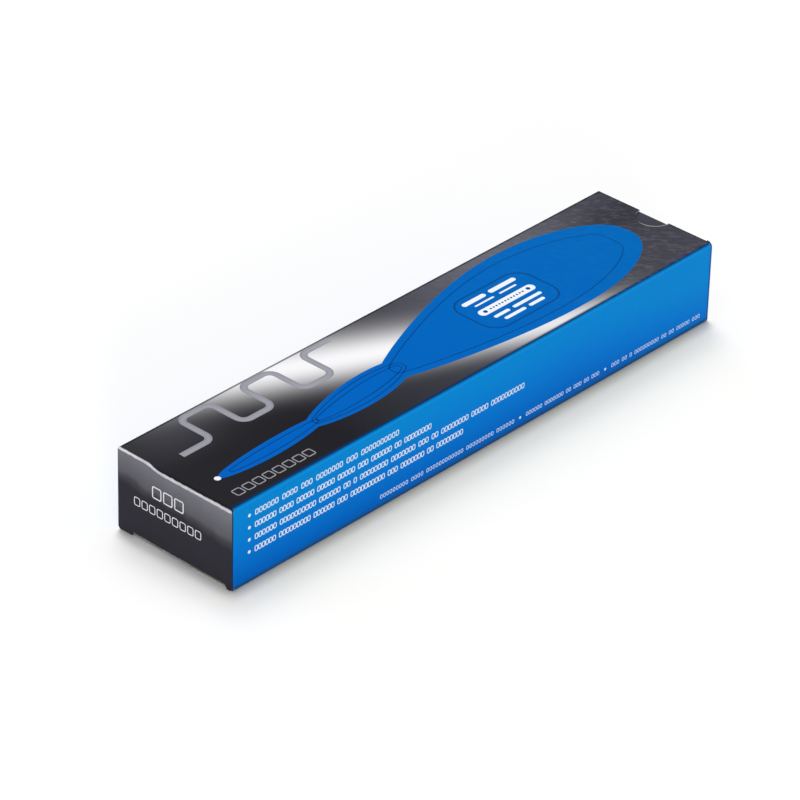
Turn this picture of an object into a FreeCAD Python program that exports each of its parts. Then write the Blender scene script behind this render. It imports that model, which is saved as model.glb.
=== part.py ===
import FreeCAD, Part
import math
import os
import re
import Sketcher

# A reverse-tuck-end folding carton, closed and empty, made of one sheet of paperboard:
# a sleeve of four panels with its dust flaps and seam, and a hinged tuck lid at each end.
#
# The carton stands on its wide bottom panel. X runs along its length, the near end at -X,
# Y across it and Z up, with the origin under its middle at the bottom of the sheet.
# Every body is drawn about the carton's centre and raised by half its height, because
# turning the near end half a turn about the Y axis there gives the far end.

SIZES = {
    # the closed carton, outside
    "box_length": 250.0,
    "box_width": 55.0,
    "box_height": 33.5,
    # the sheet and its creases
    "board": 0.5,
    "fold_radius": 0.8,         # outside radius of every crease but the tuck's
    "tuck_fold_radius": 1.2,    # the tuck's crease, rounder from being opened
    "split_angle": 45.0,        # how far round its crease a lid's hinge line lies
    # the glued seam along the bottom back edge
    "seam_lift": 0.15,          # the back panel's raw edge above the floor
    "seam_fill": 0.45,          # glue closes the crease's last gap this far below its end
    "glue_flap": 11.0,          # height of the glue flap inside the back panel
    "glue_flap_setback": 4.0,   # its ends, back from the creases
    "glue_flap_slant": 3.0,     # how much shorter its top is at each end
    # the dust flaps
    "lid_gap": 0.1,             # between a closed lid's panel and the dust flaps
    "dust_reach": 23.5,         # from the side panel's face to the flap's tip
    "dust_relief": 0.3,         # cut away at both ends of the dust flap's crease
    "dust_shoulder": 3.4,       # width of the shoulder that stands behind the lid's ears
    "dust_lift": 2.4,           # the rest of that edge above the sheet's underside, clear of the tuck
    "dust_slope": 1.6,          # how far both long edges draw in towards the tip
    "dust_hinge_relief": 3.0,   # the cut beside the lid's crease
    "dust_corner": 6.0,         # tip corner radius
    # the thumb notches
    "notch_radius": 7.0,
    # the sleeve's front corner at the far end, knocked round
    "worn_corner": 2.2,
    # the lids
    "lid_side_gap": 0.25,       # a lid is this much narrower than the carton on each side
    "ear_front": 4.0,           # width of the ears beside the tuck's crease
    "ear_back": 7.0,
    "ear_front_lift": 0.15,     # the ears' ends above the sheet's underside
    "ear_back_lift": 0.7,
    "near_ear_corner": 1.2,     # radius of the ears' outer corners
    "far_ear_corner": 2.0,      # rounder, from the same knock as the worn corner
    "ear_slant": 1.4,           # the front ear's slanting inner edge
    "slit": 0.3,                # between an ear and the tuck
    "near_tuck_reach": 32.1,    # from the hinge line to the tuck's outer face
    "far_tuck_reach": 32.5,     # this one lies closer under its panel
    "tuck_sweep": 26.2,         # angle that the tuck covers, seen from the hinge line
    "tuck_corner": 9.0,
    # overrun of cutting shapes past the sheet
    "overrun": 1.0,
}

HALF_LENGTH = "box_length / 2"
HALF_WIDTH = "box_width / 2"
HALF_HEIGHT = "box_height / 2"

# ends of the top and bottom panels, and of the side panels, where their creases begin
PANEL_END = f"({HALF_LENGTH} - fold_radius)"
SIDE_END = f"({HALF_LENGTH} - board - lid_gap - fold_radius)"

# the hinge line of the near lid, on the outer face of the crease
HINGE_X = f"(-{PANEL_END} - fold_radius * sin(split_angle))"
HINGE_Z = f"({HALF_HEIGHT} - fold_radius + fold_radius * cos(split_angle))"

doc = FreeCAD.newDocument("folding_carton")


def make_sheet():
    """Writes the driving sizes into a spreadsheet, one aliased cell each."""
    sheet = doc.addObject("Spreadsheet::Sheet", "Sizes")
    for row, (alias, value) in enumerate(SIZES.items(), start=1):
        sheet.set(f"A{row}", alias)
        sheet.set(f"B{row}", str(value))
        sheet.setAlias(f"B{row}", alias)
    doc.recompute()


def bound(expression):
    """Points each size named in an expression at its cell in the sheet."""
    return re.sub(r"[a-z]+(?:_[a-z]+)*", lambda word: f"Sizes.{word[0]}" if word[0] in SIZES else word[0],
                  expression)


def value(feature, expression):
    """The number that an expression stands for now."""
    result = feature.evalExpression(bound(expression))
    return float(getattr(result, "Value", result))


def new_sketch(body, name, plane, offset="0"):
    """A sketch on one of the body's own origin planes, moved along the plane's normal."""
    sketch = body.newObject("Sketcher::SketchObject", name)
    support = next(item for item in body.Origin.OriginFeatures if item.Role == plane)
    sketch.AttachmentSupport = [(support, "")]
    sketch.MapMode = "FlatFace"
    sketch.setExpression("AttachmentOffset.Base.z", bound(offset))
    return sketch


def arc_between(start, end, radius, turn):
    """The short arc from start to end; turn is 1 anticlockwise, -1 clockwise."""
    if turn < 0:
        start, end = end, start
    chord = end - start
    rise = math.sqrt(max(radius ** 2 - (chord.Length / 2) ** 2, 0.0))
    normal = FreeCAD.Vector(-chord.y, chord.x, 0).normalize()
    centre = (start + end) / 2 + normal * rise
    first, last = (math.atan2(point.y - centre.y, point.x - centre.x) for point in (start, end))
    return Part.ArcOfCircle(Part.Circle(centre, FreeCAD.Vector(0, 0, 1), radius), first, last)


def add_outline(sketch, corners):
    """Draws one closed outline and binds it to the sheet.

    Each corner is (x, y), or (x, y, radius, turn) where the edge that leaves it is an arc.
    """
    first = sketch.GeometryCount
    points = [FreeCAD.Vector(value(sketch, corner[0]), value(sketch, corner[1]), 0) for corner in corners]
    starts = []
    for number, corner in enumerate(corners):
        start, end = points[number], points[(number + 1) % len(points)]
        if len(corner) == 2:
            sketch.addGeometry(Part.LineSegment(start, end))
            starts.append(1)
        else:
            radius, turn = corner[2:]
            edge = sketch.addGeometry(arc_between(start, end, value(sketch, radius), turn))
            sketch.addConstraint(Sketcher.Constraint("Radius", edge, value(sketch, radius)))
            sketch.setExpression(f"Constraints[{sketch.ConstraintCount - 1}]", bound(radius))
            starts.append(1 if turn > 0 else 2)
    for number, corner in enumerate(corners):
        edge, start = first + number, starts[number]
        previous = (number - 1) % len(corners)
        sketch.addConstraint(Sketcher.Constraint(
            "Coincident", first + previous, 3 - starts[previous], edge, start))
        for kind, length, text in (("DistanceX", points[number].x, corner[0]),
                                   ("DistanceY", points[number].y, corner[1])):
            sketch.addConstraint(Sketcher.Constraint(kind, -1, 1, edge, start, length))
            sketch.setExpression(f"Constraints[{sketch.ConstraintCount - 1}]", bound(text))


def add_pad(body, sketch, name, length, length_back=None, symmetric=False, reversed_way=False):
    """Pads a sketch by a length, or by one length each way."""
    pad = body.newObject("PartDesign::Pad", name)
    pad.Profile = sketch
    pad.Reversed = reversed_way
    pad.setExpression("Length", bound(length))
    if symmetric:
        pad.SideType = "Symmetric"
    if length_back is not None:
        pad.SideType = "Two sides"
        pad.setExpression("Length2", bound(length_back))
    doc.recompute()
    return pad


def add_pocket(body, sketch, name, length, symmetric=False, reversed_way=False):
    """Cuts a sketch's outlines out of the body; a pocket that cuts nothing is an error."""
    before = body.Shape.Volume
    pocket = body.newObject("PartDesign::Pocket", name)
    pocket.Profile = sketch
    pocket.Reversed = reversed_way
    pocket.setExpression("Length", bound(length))
    if symmetric:
        pocket.SideType = "Symmetric"
    doc.recompute()
    if body.Shape.Volume >= before:
        raise RuntimeError(f"{name} cuts nothing")
    return pocket


def new_body(label):
    """A body whose own origin is the carton's centre, raised to stand on the floor."""
    body = doc.addObject("PartDesign::Body", label)
    body.Label = label
    body.setExpression("Placement.Base.z", bound(HALF_HEIGHT))
    return body


def add_sleeve_panels(body):
    """The four panels and their long creases as one strip, closed by the glue flap."""
    sketch = new_sketch(body, "panels_section", "YZ_Plane")
    edge_y = f"({HALF_WIDTH} - fold_radius)"
    edge_z = f"({HALF_HEIGHT} - fold_radius)"
    back_inner = f"({HALF_WIDTH} - board)"
    seam_y = f"({back_inner} - fold_radius)"
    seam_z = f"(-{edge_z} - seam_fill)"
    seam_arc_y = f"({seam_y} + sqrt(fold_radius ^ 2 - seam_fill ^ 2))"
    raw_edge_z = f"(-{HALF_HEIGHT} + seam_lift)"
    add_outline(sketch, [
        (HALF_WIDTH, raw_edge_z),
        (HALF_WIDTH, edge_z, "fold_radius", 1),
        (edge_y, HALF_HEIGHT),
        (f"-{edge_y}", HALF_HEIGHT, "fold_radius", 1),
        (f"-{HALF_WIDTH}", edge_z),
        (f"-{HALF_WIDTH}", f"-{edge_z}", "fold_radius", 1),
        (f"-{edge_y}", f"-{HALF_HEIGHT}"),
        (seam_y, f"-{HALF_HEIGHT}", "fold_radius", 1),
        (seam_arc_y, seam_z),
        (back_inner, seam_z),
        (back_inner, raw_edge_z),
    ])
    inner_radius = "(fold_radius - board)"
    flap_top = f"(-{edge_z} + glue_flap)"
    inner_z = f"({HALF_HEIGHT} - board)"
    add_outline(sketch, [
        (back_inner, flap_top),
        (back_inner, edge_z, inner_radius, 1),
        (edge_y, inner_z),
        (f"-{edge_y}", inner_z, inner_radius, 1),
        (f"-{back_inner}", edge_z),
        (f"-{back_inner}", f"-{edge_z}", inner_radius, 1),
        (f"-{edge_y}", f"-{inner_z}"),
        (seam_y, f"-{inner_z}", inner_radius, 1),
        (f"({back_inner} - board)", f"-{edge_z}"),
        (f"({back_inner} - board)", flap_top),
    ])
    add_pad(body, sketch, "panels", f"2 * {PANEL_END}", symmetric=True)


def cut_side_panel_ends(body):
    """Sets the side panels' ends back to where the dust flaps' creases begin."""
    sketch = new_sketch(body, "side_ends_outline", "XZ_Plane")
    edge_z = f"({HALF_HEIGHT} - fold_radius)"
    for sign in ("", "-"):
        inner, outer = f"{sign}{SIDE_END}", f"{sign}({PANEL_END} + overrun)"
        add_outline(sketch, [(inner, f"-{edge_z}"), (outer, f"-{edge_z}"), (outer, edge_z), (inner, edge_z)])
    add_pocket(body, sketch, "side_ends", "box_width + 2 * overrun", symmetric=True)


def cut_glue_flap_ends(body):
    """Sets the glue flap's ends back and slants them, clear of the dust flaps."""
    sketch = new_sketch(body, "glue_flap_ends_outline", "XZ_Plane", f"-({HALF_WIDTH} - board)")
    root_z = f"(-{HALF_HEIGHT} + fold_radius)"
    top_z = f"({root_z} + glue_flap)"
    for sign in ("", "-"):
        root = f"{sign}({SIDE_END} - glue_flap_setback)"
        top = f"{sign}({SIDE_END} - glue_flap_setback - glue_flap_slant)"
        outer = f"{sign}({SIDE_END} + overrun)"
        add_outline(sketch, [(root, root_z), (outer, root_z), (outer, f"({top_z} + overrun)"),
                             (top, f"({top_z} + overrun)"), (top, top_z)])
    add_pocket(body, sketch, "glue_flap_ends", "board", reversed_way=True)


def add_hinge_crease(body, name, first_angle, last_angle, width):
    """The part of the near lid's crease between two angles, measured from the top panel."""
    sketch = new_sketch(body, f"{name}_section", "XZ_Plane")
    inner_radius = "(fold_radius - board)"

    def place(radius, angle):
        return (f"(-{PANEL_END} - {radius} * sin({angle}))",
                f"({HALF_HEIGHT} - fold_radius + {radius} * cos({angle}))")

    add_outline(sketch, [
        (*place("fold_radius", first_angle), "fold_radius", 1),
        place("fold_radius", last_angle),
        (*place(inner_radius, last_angle), inner_radius, -1),
        place(inner_radius, first_angle),
    ])
    return add_pad(body, sketch, name, width, symmetric=True)


def trim_crease_corners(body):
    """Rounds the crease's two ends to the long creases' outline."""
    sketch = new_sketch(body, "crease_corners_outline", "YZ_Plane", f"-{PANEL_END}")
    edge_y = f"({HALF_WIDTH} - fold_radius)"
    edge_z = f"({HALF_HEIGHT} - fold_radius)"
    out_y = f"({HALF_WIDTH} + overrun)"
    out_z = f"({HALF_HEIGHT} + overrun)"
    for sign, turn in (("", -1), ("-", 1)):
        add_outline(sketch, [
            (f"{sign}{edge_y}", HALF_HEIGHT, "fold_radius", turn),
            (f"{sign}{HALF_WIDTH}", edge_z),
            (f"{sign}{out_y}", edge_z),
            (f"{sign}{out_y}", out_z),
            (f"{sign}{edge_y}", out_z),
        ])
    return add_pocket(body, sketch, "crease_corners", "fold_radius + overrun")


def add_dust_flaps(body):
    """Both dust flaps of the near end: their creases, then the flaps in their own outline."""
    creases = new_sketch(body, "dust_creases_section", "XY_Plane",
                         f"-({HALF_HEIGHT} - fold_radius - dust_relief)")
    face_x = f"(-{HALF_LENGTH} + board + lid_gap)"
    edge_y = f"({HALF_WIDTH} - fold_radius)"
    inner_radius = "(fold_radius - board)"
    for sign, turn in (("", 1), ("-", -1)):
        add_outline(creases, [
            (f"-{SIDE_END}", f"{sign}{HALF_WIDTH}", "fold_radius", turn),
            (face_x, f"{sign}{edge_y}"),
            (f"({face_x} + board)", f"{sign}{edge_y}", inner_radius, -turn),
            (f"-{SIDE_END}", f"{sign}({HALF_WIDTH} - board)"),
        ])
    crease_pad = add_pad(body, creases, "dust_creases", "box_height - 2 * (fold_radius + dust_relief)")

    flaps = new_sketch(body, "dust_flaps_outline", "YZ_Plane", face_x)
    root_low = f"(-{HALF_HEIGHT} + fold_radius + dust_relief)"
    root_high = f"({HALF_HEIGHT} - fold_radius - dust_relief)"
    shoulder = f"({HALF_WIDTH} - dust_shoulder)"
    tip = f"({HALF_WIDTH} - dust_reach)"
    low = f"(-{HALF_HEIGHT} + dust_lift)"
    high = f"({root_high} - dust_hinge_relief)"
    for sign, turn in (("", -1), ("-", 1)):
        add_outline(flaps, [
            (f"{sign}{edge_y}", root_low),
            (f"{sign}{shoulder}", root_low),
            (f"{sign}({shoulder} - dust_slope / 2)", low),
            (f"{sign}({tip} + dust_corner)", f"({low} + dust_slope)", "dust_corner", turn),
            (f"{sign}{tip}", f"({low} + dust_slope + dust_corner)"),
            (f"{sign}{tip}", f"({high} - dust_slope - dust_corner)", "dust_corner", turn),
            (f"{sign}({tip} + dust_corner)", f"({high} - dust_slope)"),
            (f"{sign}({edge_y} - dust_hinge_relief)", high),
            (f"{sign}{edge_y}", root_high),
        ])
    flap_pad = add_pad(body, flaps, "dust_flaps", "board")
    return [crease_pad, flap_pad]


def cut_thumb_notch(body):
    """The half-moon in the bottom panel's free edge at the near end."""
    sketch = new_sketch(body, "thumb_notch_outline", "XY_Plane", f"-{HALF_HEIGHT} - overrun")
    centre = FreeCAD.Vector(value(sketch, f"-{PANEL_END}"), 0, 0)
    radius = value(sketch, "notch_radius")
    circle = sketch.addGeometry(Part.Circle(centre, FreeCAD.Vector(0, 0, 1), radius))
    sketch.addConstraint(Sketcher.Constraint("PointOnObject", circle, 3, -1))
    for kind, size, text in (("DistanceX", centre.x, f"-{PANEL_END}"), ("Radius", radius, "notch_radius")):
        arguments = (-1, 1, circle, 3, size) if kind == "DistanceX" else (circle, size)
        sketch.addConstraint(Sketcher.Constraint(kind, *arguments))
        sketch.setExpression(f"Constraints[{sketch.ConstraintCount - 1}]", bound(text))
    return add_pocket(body, sketch, "thumb_notch", "board + 2 * overrun", reversed_way=True)


def turn_to_far_end(body, features):
    """Repeats the near end's features at the far end, half a turn about the Y axis."""
    pattern = body.newObject("PartDesign::PolarPattern", "far_end")
    pattern.Originals = features
    axis = next(item for item in body.Origin.OriginFeatures if item.Role == "Y_Axis")
    pattern.Axis = (axis, [""])
    pattern.Angle = 360
    pattern.Occurrences = 2
    body.Tip = pattern
    doc.recompute()


def round_worn_corner(body):
    """Rounds the front long crease off above the far end's dust flap."""
    sketch = new_sketch(body, "worn_corner_outline", "XZ_Plane", HALF_WIDTH)
    face_x = f"({HALF_LENGTH} - board - lid_gap)"
    add_outline(sketch, [
        (f"({face_x} - worn_corner)", HALF_HEIGHT, "worn_corner", -1),
        (face_x, f"({HALF_HEIGHT} - worn_corner)"),
        (f"({face_x} + overrun)", f"({HALF_HEIGHT} - worn_corner)"),
        (f"({face_x} + overrun)", f"({HALF_HEIGHT} + overrun)"),
        (f"({face_x} - worn_corner)", f"({HALF_HEIGHT} + overrun)"),
    ])
    add_pocket(body, sketch, "worn_corner", "fold_radius")


def make_sleeve():
    """The four glued panels with both ends' dust flaps and thumb notches."""
    body = new_body("carton_sleeve")
    add_sleeve_panels(body)
    cut_side_panel_ends(body)
    cut_glue_flap_ends(body)
    crease = add_hinge_crease(body, "hinge_crease", "0", "split_angle", "box_width")
    corners = trim_crease_corners(body)
    flaps = add_dust_flaps(body)
    notch = cut_thumb_notch(body)
    turn_to_far_end(body, [crease, corners, *flaps, notch])
    round_worn_corner(body)
    return body


def add_lid_panel(body, corner, reach):
    """The panel that closes the end, with an ear at both ends of the tuck's crease."""
    sketch = new_sketch(body, "lid_panel_outline", "YZ_Plane", f"-{HALF_LENGTH}")
    side = f"({HALF_WIDTH} - lid_side_gap)"
    top_z = f"({HALF_HEIGHT} - fold_radius)"
    front_z = f"(-{HALF_HEIGHT} + ear_front_lift)"
    back_z = f"(-{HALF_HEIGHT} + ear_back_lift)"
    front_slit = f"(-{HALF_WIDTH} + ear_front)"
    back_slit = f"({HALF_WIDTH} - ear_back)"
    crease_z = tuck_crease(reach)[1]
    add_outline(sketch, [
        (f"-{side}", top_z),
        (f"-{side}", f"({front_z} + {corner})", corner, 1),
        (f"(-{side} + {corner})", front_z),
        (f"({front_slit} - ear_slant)", front_z),
        (front_slit, crease_z),
        (back_slit, crease_z),
        (back_slit, back_z),
        (f"({side} - {corner})", back_z, corner, 1),
        (side, f"({back_z} + {corner})"),
        (side, top_z),
    ])
    add_pad(body, sketch, "lid_panel", "board")


def tuck_crease(reach):
    """The angle and the height at which the tuck's crease meets the tuck.

    The crease is tangent to the lid's panel and to the tuck's circle round the hinge line; its
    centre and the point where it meets the tuck lie on one line through the hinge line.
    """
    cosine = f"((-{HALF_LENGTH} + tuck_fold_radius - {HINGE_X}) / ({reach} - tuck_fold_radius))"
    height = f"({HINGE_Z} - ({reach} - tuck_fold_radius) * sqrt(1 - {cosine} ^ 2))"
    return f"(acos({cosine}) / 1deg)", height


def add_tuck(body, reach):
    """The tuck: its crease, then a flap that follows a circle round the hinge line."""
    start, crease_z = tuck_crease(reach)
    sketch = new_sketch(body, "tuck_section", "XZ_Plane")

    def place(radius, angle):
        return (f"({HINGE_X} + {radius} * cos({angle}))", f"({HINGE_Z} - {radius} * sin({angle}))")

    inner_reach = f"({reach} - board)"
    inner_fold = "(tuck_fold_radius - board)"
    tip_angle = f"({start} - tuck_sweep)"
    add_outline(sketch, [
        (f"-{HALF_LENGTH}", crease_z, "tuck_fold_radius", 1),
        (*place(reach, start), reach, 1),
        place(reach, tip_angle),
        (*place(inner_reach, tip_angle), inner_reach, -1),
        (*place(inner_reach, start), inner_fold, -1),
        (f"(-{HALF_LENGTH} + board)", crease_z),
    ])
    add_pad(body, sketch, "tuck", f"{HALF_WIDTH} - ear_front - slit",
            length_back=f"{HALF_WIDTH} - ear_back - slit")

    corners = new_sketch(body, "tuck_corners_outline", "XY_Plane", f"-{HALF_HEIGHT}")
    tip_x = f"({HINGE_X} + {reach} * cos({tip_angle}))"
    for sign, turn, ear in (("", -1, "ear_back"), ("-", 1, "ear_front")):
        side_y = f"{sign}({HALF_WIDTH} - {ear} - slit)"
        out_y = f"{sign}({HALF_WIDTH} - {ear} - slit + overrun)"
        add_outline(corners, [
            (f"({tip_x} - tuck_corner)", side_y, "tuck_corner", turn),
            (tip_x, f"{sign}({HALF_WIDTH} - {ear} - slit - tuck_corner)"),
            (f"({tip_x} + overrun)", f"{sign}({HALF_WIDTH} - {ear} - slit - tuck_corner)"),
            (f"({tip_x} + overrun)", out_y),
            (f"({tip_x} - tuck_corner)", out_y),
        ])
    add_pocket(body, corners, "tuck_corners", HALF_HEIGHT, reversed_way=True)


def make_lid(label, turned, corner, reach):
    """A lid: its part of the hinge crease, the panel with its ears, and the tuck."""
    body = new_body(label)
    if turned:
        body.Placement = FreeCAD.Placement(FreeCAD.Vector(0, 0, 0), FreeCAD.Rotation(FreeCAD.Vector(0, 1, 0), 180))
    add_lid_panel(body, corner, reach)
    add_hinge_crease(body, "hinge_crease", "split_angle", "90", "box_width - 2 * lid_side_gap")
    add_tuck(body, reach)
    return body


def check_model(bodies):
    """Stops at an object that failed to build, or a body that isn't one valid solid."""
    for item in doc.Objects:
        if {"Invalid", "Error"} & set(item.State):
            raise RuntimeError(f"{item.Label} is {item.State}")
    for body in bodies:
        shape = body.Shape
        if shape.isNull() or not shape.isValid() or len(shape.Solids) != 1:
            raise RuntimeError(f"{body.Label} is not one valid solid")


make_sheet()
parts = [
    make_sleeve(),
    make_lid("near_lid", False, "near_ear_corner", "near_tuck_reach"),
    make_lid("far_lid", True, "far_ear_corner", "far_tuck_reach"),
]
doc.recompute()
check_model(parts)
os.makedirs("parts", exist_ok=True)
for part in parts:
    part.Shape.exportStep(f"parts/{part.Label}.step")
    box = part.Shape.BoundBox
    print(f"{part.Label}: {part.Shape.Volume:.1f} mm3, x {box.XMin:.2f} to {box.XMax:.2f}, "
          f"y {box.YMin:.2f} to {box.YMax:.2f}, z {box.ZMin:.2f} to {box.ZMax:.2f}")
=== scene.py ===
import logging
import math
from dataclasses import dataclass, replace
from enum import Enum

import bmesh
import bpy
from mathutils import Matrix, Vector
from mathutils.bvhtree import BVHTree


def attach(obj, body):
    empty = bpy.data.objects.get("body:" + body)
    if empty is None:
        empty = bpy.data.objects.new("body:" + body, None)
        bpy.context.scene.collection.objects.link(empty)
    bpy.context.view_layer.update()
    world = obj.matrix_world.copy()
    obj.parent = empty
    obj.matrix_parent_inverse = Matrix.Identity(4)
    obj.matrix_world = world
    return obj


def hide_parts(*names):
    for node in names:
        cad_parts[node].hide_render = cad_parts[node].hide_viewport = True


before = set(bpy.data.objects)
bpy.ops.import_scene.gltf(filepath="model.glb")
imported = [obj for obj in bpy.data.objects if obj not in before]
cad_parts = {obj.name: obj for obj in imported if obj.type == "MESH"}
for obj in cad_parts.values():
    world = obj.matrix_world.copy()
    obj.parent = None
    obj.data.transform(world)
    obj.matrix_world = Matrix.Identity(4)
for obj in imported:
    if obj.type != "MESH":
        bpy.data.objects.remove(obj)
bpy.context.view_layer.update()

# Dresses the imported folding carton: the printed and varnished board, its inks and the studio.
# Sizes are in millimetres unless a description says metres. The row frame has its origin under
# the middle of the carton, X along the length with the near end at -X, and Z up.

logging.basicConfig(level=logging.INFO, format="%(name)s: %(message)s")
LOG = logging.getLogger("carton")

TO_METRES = 0.001

LENGTH = 250.0
WIDTH = 55.0
HEIGHT = 33.5

FILM_DEPTH = 0.01                           # how far an ink film reaches into the board
FILM_HEIGHT = 0.02                          # how far it stands above the board
FILM = FILM_DEPTH + FILM_HEIGHT
FILM_MIDDLE = (FILM_HEIGHT - FILM_DEPTH) / 2

BAR_SIZES = ("bar_length", "bar_height")    # what each point of a row of bars carries
BAR_END = "bar_end"                         # which way each vertex of a bar goes, as -1 or 1

NOISE, SPLIT, JOIN = "ShaderNodeTexNoise", "ShaderNodeSeparateXYZ", "ShaderNodeCombineXYZ"
OBLONG = "GeometryNodeCurvePrimitiveQuadrilateral"
MOVE, TRANSFORM = "GeometryNodeSetPosition", "GeometryNodeTransform"
REALIZE, SPREAD = "GeometryNodeRealizeInstances", "GeometryNodeInstanceOnPoints"

Colour = tuple[float, float, float, float]
Point = tuple[float, float]
Inputs = tuple[tuple[str, float], ...]      # a rule's named inputs and their values
Ramp = tuple[float, ...]                    # where a range starts and ends, and what it gives there
Material = bpy.types.Material
Mesh = bpy.types.Mesh
Node = bpy.types.Node
Socket = bpy.types.NodeSocket
Tree = bpy.types.NodeTree
Value = Node | Socket | float | tuple | dict        # what add_node takes for an input


def linear(hex_colour: str) -> Colour:
    """Turns an sRGB hex colour into linear light.

    Args:
        hex_colour: a hash sign and six hex digits.

    Returns:
        Linear red, green and blue, and an alpha of 1.
    """
    parts = [int(hex_colour[i:i + 2], 16) / 255 for i in (1, 3, 5)]
    red, green, blue = (c / 12.92 if c <= 0.04045 else ((c + 0.055) / 1.055) ** 2.4 for c in parts)
    return red, green, blue, 1.0


def add_node(tree: Tree, kind: str, *inputs: Value, stops: tuple[tuple[float, str], ...] = (),
             **settings: object) -> Node:
    """Adds one node with its settings, values and links.

    Args:
        tree: the node tree that gets the node.
        kind: the node's class name, a sum's operation, or LINEAR or SMOOTHSTEP for a range.
        inputs: the input sockets in order, or one dictionary of them by name or number: each a
            value, a socket or node to link, or a tuple of the kind and inputs of a node to add
            first.
        stops: a colour ramp's positions and hex colours.
        settings: the node's own properties.

    Returns:
        The new node.
    """
    if kind in ("LINEAR", "SMOOTHSTEP"):
        kind, settings["interpolation_type"] = "ShaderNodeMapRange", kind
    elif kind.isupper():
        kind, settings["operation"] = "ShaderNodeMath", kind
    node = tree.nodes.new(kind)
    for name, value in settings.items():
        setattr(node, name, value)
    for at, (position, colour) in enumerate(stops):
        elements = node.color_ramp.elements
        element = elements[at] if at < 2 else elements.new(position)
        element.position, element.color = position, linear(colour)
    by_key = inputs[0] if inputs and isinstance(inputs[0], dict) else dict(enumerate(inputs))
    for key, value in by_key.items():
        if isinstance(value, tuple) and isinstance(value[0], str):
            value = add_node(tree, *value)
        if isinstance(value, Node):
            value = next(output for output in value.outputs if output.enabled)
        if isinstance(value, Socket):
            tree.links.new(value, node.inputs[key])
        else:
            node.inputs[key].default_value = value
    return node


def add_object(name: str, data: bpy.types.ID) -> bpy.types.Object:
    """Makes an object and links it to the scene.

    Args:
        name: the object's name.
        data: the mesh, light or camera that it shows.

    Returns:
        The object.
    """
    made = bpy.data.objects.new(name, data)
    bpy.context.scene.collection.objects.link(made)
    return made


def take_mesh(maker: bpy.types.Object) -> Mesh:
    """Takes away what an object's modifiers make of it, and removes them and the object.

    Args:
        maker: the object with its modifiers.

    Returns:
        The result as a plain mesh.
    """
    bpy.context.view_layer.update()
    depsgraph = bpy.context.evaluated_depsgraph_get()
    mesh = bpy.data.meshes.new_from_object(maker.evaluated_get(depsgraph), depsgraph=depsgraph)
    maker.modifiers.clear()
    bpy.data.objects.remove(maker)
    return mesh


# ------------ faces of the carton

class Face(Enum):
    """A printed face of the carton."""

    TOP = "top"
    FRONT = "front"
    NEAR_END = "near_end"

    def place(self) -> Matrix:
        """The matrix from the face's own flat coordinates, in millimetres, to the row frame.

        Returns:
            A matrix whose X runs along the print, Y up the print and Z out of the face.
        """
        half_length, half_width = LENGTH / 2, WIDTH / 2
        across, up, out, corner = {
            Face.TOP: ((1, 0, 0), (0, 1, 0), (0, 0, 1), (-half_length, -half_width, HEIGHT)),
            Face.FRONT: ((1, 0, 0), (0, 0, 1), (0, -1, 0), (-half_length, -half_width, 0)),
            Face.NEAR_END: ((0, -1, 0), (0, 0, 1), (-1, 0, 0), (-half_length, half_width, 0)),
        }[self]
        axes = Matrix((across, up, out)).transposed().to_4x4()
        return Matrix.Scale(TO_METRES, 4) @ Matrix.Translation(corner) @ axes


# ------------ finishes

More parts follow.
